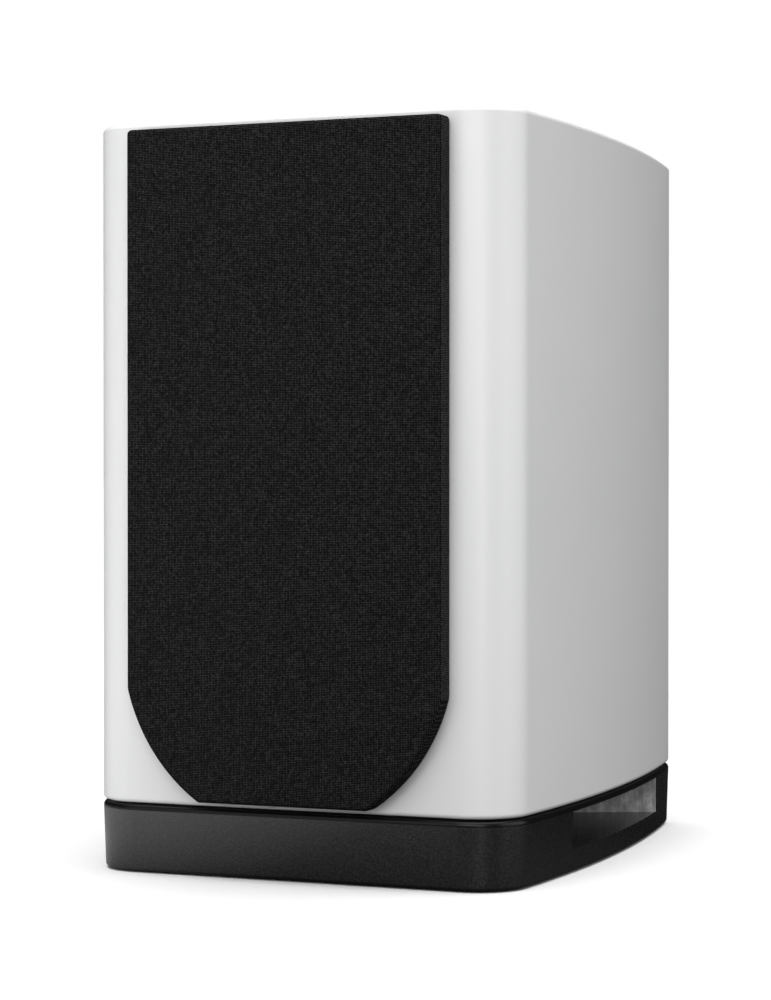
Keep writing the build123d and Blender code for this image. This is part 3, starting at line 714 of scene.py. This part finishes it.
def cloth_shell():
    """Cloth drawn over the frame's front, round its edge and a little way in behind."""
    shell = Shell()
    outline = grille_outline()
    steps = 8
    rows = []

    def row(inset, y, side, out):
        points = [(x - nx * inset, y, z - nz * inset) for x, z, nx, nz in outline]
        rows.append((points, [(nx * side, out, nz * side) for _, _, nx, nz in outline]))

    row(CLOTH_TURN_IN, GRILLE_BACK, 0, 1)
    row(HEM_R, GRILLE_BACK, 0, 1)
    row(HEM_MID, GRILLE_BACK - HEM_MID, 0.71, 0.71)
    row(0.0, GRILLE_BACK - HEM_R, 1, 0)
    for i in range(steps + 1):
        a = math.pi / 2 * i / steps
        row(CLOTH_ROLL * (1 - math.cos(a)), GRILLE_FRONT + CLOTH_ROLL * (1 - math.sin(a)),
            math.cos(a), -math.sin(a))
    outer = rows[:]
    rows.clear()
    inner_roll = CLOTH_ROLL - CLOTH_T
    for i in range(steps + 1):
        a = math.pi / 2 * (steps - i) / steps
        row(CLOTH_T + inner_roll * (1 - math.cos(a)),
            GRILLE_FRONT + CLOTH_T + inner_roll * (1 - math.sin(a)), -math.cos(a), math.sin(a))
    row(CLOTH_T, GRILLE_BACK - CLOTH_T, -1, 0)
    row(CLOTH_TURN_IN, GRILLE_BACK - CLOTH_T, 0, -1)
    inner = rows[:]
    for group in (outer, inner):
        for (a, na), (b, nb) in zip(group, group[1:]):
            shell.strip(a, b, na, nb, True)
    inwards = [(-nx, 0, -nz) for _, _, nx, nz in outline]
    shell.strip(inner[-1][0], outer[0][0], inwards, inwards, True)
    across(shell, outer[-1][0], (0, -1, 0))
    across(shell, inner[0][0], (0, 1, 0))
    return shell


cloth = cloth_shell().object("stretched_cloth")
finish_piece(cloth, "grille", "grille_cloth", "grille_cloth")

# ------------------------------------------------------------------ woofer's moving parts
WOOFER_RING = 144
ROLL_MID_R = 51.0
ROLL_R = 4.0
ROLL_FOOT = 0.4
SURROUND_Y = 0.5
SURROUND_T = 0.7
SURROUND_IN_R = 44.5
SURROUND_OUT_R = 60.0
SURROUND_LAND_R = 58.0
SURROUND_BEND = (46.5, 55.5)      # the roll bends between these radii
SPIDER_Y = 24.7
SPIDER_HALF_T = 0.25
SPIDER_WAVES = 5
SPIDER_WAVE_H = 0.9
SPIDER_BEND = (15.5, 35.5)        # the corrugations lie and bend between these radii
SPIDER_LEDGE_R = 41.0
COIL_R = 13.1


def radial_blend(piece, inner_r, outer_r):
    """Bakes the piece's placement into its mesh; inner_r and outer_r are not used.
    """
    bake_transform(piece)


def woofer_ring(profile, name, slot, replaced, bend):
    """Flexible ring between the cone and the basket."""
    piece = turned(profile, WOOFER_Z, WOOFER_RING).object(name)
    piece.data.materials.append(MATERIALS[slot])
    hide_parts(replaced)
    radial_blend(piece, *bend)


def surround_profile():
    """Half-roll with a flat land on each side."""
    steps = 14
    rear_y = SURROUND_Y + SURROUND_T
    inner = ROLL_R - SURROUND_T
    front = [(SURROUND_IN_R, SURROUND_Y, False), (ROLL_MID_R - ROLL_R - ROLL_FOOT, SURROUND_Y, True)]
    for i in range(steps + 1):
        a = math.pi * (1 - i / steps)
        front.append((ROLL_MID_R + ROLL_R * math.cos(a), SURROUND_Y - ROLL_R * math.sin(a), True))
    front += [(ROLL_MID_R + ROLL_R + ROLL_FOOT, SURROUND_Y, True), (SURROUND_LAND_R, SURROUND_Y, True),
              (SURROUND_OUT_R, SURROUND_Y, False)]
    rear = [(SURROUND_OUT_R, rear_y, False), (ROLL_MID_R + ROLL_R, rear_y, True)]
    for i in range(steps + 1):
        a = math.pi * i / steps
        rear.append((ROLL_MID_R + inner * math.cos(a), rear_y - inner * math.sin(a), True))
    rear += [(ROLL_MID_R - ROLL_R, rear_y, True), (SURROUND_IN_R, rear_y, False)]
    return front + rear


def spider_profile():
    """Corrugations between the coil's former and the basket's ledge."""
    steps = 80
    first_r, last_r = SPIDER_BEND
    line = [(COIL_R, SPIDER_Y)]
    for i in range(steps + 1):
        r = first_r + (last_r - first_r) * i / steps
        line.append((r, SPIDER_Y - SPIDER_WAVE_H * math.sin(2 * math.pi * SPIDER_WAVES * i / steps)))
    line.append((SPIDER_LEDGE_R, SPIDER_Y))
    tips = (0, len(line) - 1)
    front = [(r, y - SPIDER_HALF_T, i not in tips) for i, (r, y) in enumerate(line)]
    rear = [(r, y + SPIDER_HALF_T, i not in tips) for i, (r, y) in enumerate(line)]
    return front + rear[::-1]


woofer_ring(surround_profile(), "half_roll_surround", "rubber_black", "woofer_surround", SURROUND_BEND)
woofer_ring(spider_profile(), "corrugated_spider", "spider_cloth", "woofer_spider", SPIDER_BEND)

# ------------------------------------------------------------------ damping pads
felt_mesh = nodes["damping_pads"].data.copy()
felt_mesh.name = "felt_pads"
felt_pads = bpy.data.objects.new("felt_pads", felt_mesh)
scene.collection.objects.link(felt_pads)
remesh = felt_pads.modifiers.new("remesh", "REMESH")
remesh.mode = "VOXEL"
remesh.voxel_size = 0.003
remesh.use_smooth_shade = True
soften = felt_pads.modifiers.new("soften", "SMOOTH")
soften.factor = 0.5
soften.iterations = 6
tufts = bpy.data.textures.new("felt_tufts", "CLOUDS")
tufts.noise_scale = 0.012
uneven = felt_pads.modifiers.new("uneven", "DISPLACE")
uneven.texture = tufts
uneven.texture_coords = "LOCAL"
uneven.mid_level = 0.9
uneven.strength = 0.0012
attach(felt_pads, "cabinet")
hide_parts("damping_pads")

# ------------------------------------------------------------------ stage, lights and camera
CAM_TURN = math.radians(23.62)
CAM_DISTANCE = 1.2465
CAM_SIDE = 0.0457
CAM_HEIGHT = 0.1809
CAM_DIP = math.radians(0.563)
LENS = 103.608           # focal length in millimetres, on the sensor below
SENSOR = 36.0

scene.view_settings.view_transform = "Standard"
camera_data = bpy.data.cameras.new("camera")
camera_data.sensor_fit = "AUTO"
camera_data.sensor_width = SENSOR
camera_data.lens = LENS
camera_data.clip_start = 0.01
camera_data.clip_end = 50.0
camera = bpy.data.objects.new("camera", camera_data)
scene.collection.objects.link(camera)
camera.location = (CAM_SIDE + CAM_DISTANCE * math.sin(CAM_TURN),
                   Y_SHIFT * MM - CAM_DISTANCE * math.cos(CAM_TURN), CAM_HEIGHT)
aim = Vector((-math.sin(CAM_TURN), math.cos(CAM_TURN), -math.tan(CAM_DIP)))
camera.rotation_euler = aim.to_track_quat("-Z", "Y").to_euler()
scene.camera = camera


def softbox(name, location, target, size, watts):
    lamp = bpy.data.lights.new(name, "AREA")
    lamp.shape = "RECTANGLE"
    lamp.size, lamp.size_y = size
    lamp.energy = watts
    made = bpy.data.objects.new(name, lamp)
    made.location = location
    toward = Vector(target) - Vector(location)
    made.rotation_euler = toward.to_track_quat("-Z", "Y").to_euler()
    scene.collection.objects.link(made)


# Place, aim, size and power in watts of each softbox.
SOFTBOXES = {
    "front_left": ((-0.75, -1.45, 0.5), (0.0, -0.137, 0.17), (0.9, 0.9), 1.7),
    "front": ((0.1, -1.7, 0.7), (0.0, -0.137, 0.17), (1.0, 0.8), 9.2),
    "corner_strip": ((0.72, -1.3, 0.3), (0.08, -0.12, 0.15), (0.3, 1.0), 3.2),
    "right": ((1.1, 0.12, 0.25), (0.1, -0.02, 0.16), (1.3, 1.2), 7.6),
}
for box_name, (location, target, size, watts) in SOFTBOXES.items():
    softbox("softbox_" + box_name, location, target, size, watts)
OVERHEAD = 3.9
OVERHEAD_SPREAD = math.radians(75)
overhead = bpy.data.lights.new("overhead", "SUN")
overhead.energy = OVERHEAD
overhead.angle = OVERHEAD_SPREAD
overhead_piece = bpy.data.objects.new("overhead", overhead)
scene.collection.objects.link(overhead_piece)

FLOOR_REACH = 30.0
FLOOR_SHOWN = 0.86       # how light the floor itself looks
floor_mesh = bpy.data.meshes.new("studio_floor")
floor_corners = [(x * FLOOR_REACH, y * FLOOR_REACH, 0) for x, y in ((-1, -1), (1, -1), (1, 1), (-1, 1))]
floor_mesh.from_pydata(floor_corners, [], [(0, 1, 2, 3)])
floor_piece = bpy.data.objects.new("studio_floor", floor_mesh)
scene.collection.objects.link(floor_piece)
floor_finish = Finish("studio_floor", grey(0.8), 0.9)
floor_finish.specular(0.0)
# The floor looks one even white, but throws less light back on the right and behind the cabinet.
seen = floor_finish.node("ShaderNodeLightPath").outputs["Is Camera Ray"]
floor_place = floor_finish.node("ShaderNodeSeparateXYZ", {0: floor_finish.object})
bounce = floor_finish.math("MULTIPLY", floor_finish.span(floor_place.outputs["X"], -0.17, -0.01, 0.75, 0.08),
                           floor_finish.span(floor_place.outputs["Y"], -0.2, 0.1, 1.0, 0.2))
shown = floor_finish.node("ShaderNodeMapRange", {0: seen, 3: bounce, 4: FLOOR_SHOWN}).outputs[0]
floor_finish.colors(shown, (0.0, grey(0.0)), (1.0, grey(1.0)))
floor_mesh.materials.append(floor_finish.mat)

# The room is white behind the object and, as a light, dim and dimmer towards the back.
world = bpy.data.worlds.new("studio")
scene.world = world
world.use_nodes = True
sky = world.node_tree
back = sky.nodes["Background"]
seen = sky.nodes.new("ShaderNodeLightPath").outputs["Is Camera Ray"]
AMBIENT = 0.05
FRONT_SHARE, BACK_SHARE = 2.0, 0.15
direction = sky.nodes.new("ShaderNodeTexCoord").outputs["Generated"]
along = sky.nodes.new("ShaderNodeSeparateXYZ")
sky.links.new(direction, along.inputs[0])
fade = sky.nodes.new("ShaderNodeMapRange")
sky.links.new(along.outputs["Y"], fade.inputs[0])
for socket, value in ((1, -1.0), (2, 0.6), (3, AMBIENT * FRONT_SHARE), (4, AMBIENT * BACK_SHARE)):
    fade.inputs[socket].default_value = value
strength = sky.nodes.new("ShaderNodeMapRange")
sky.links.new(seen, strength.inputs[0])
sky.links.new(fade.outputs[0], strength.inputs[3])
strength.inputs[4].default_value = 1.0
sky.links.new(strength.outputs[0], back.inputs["Strength"])
back.inputs["Color"].default_value = (1, 1, 1, 1)
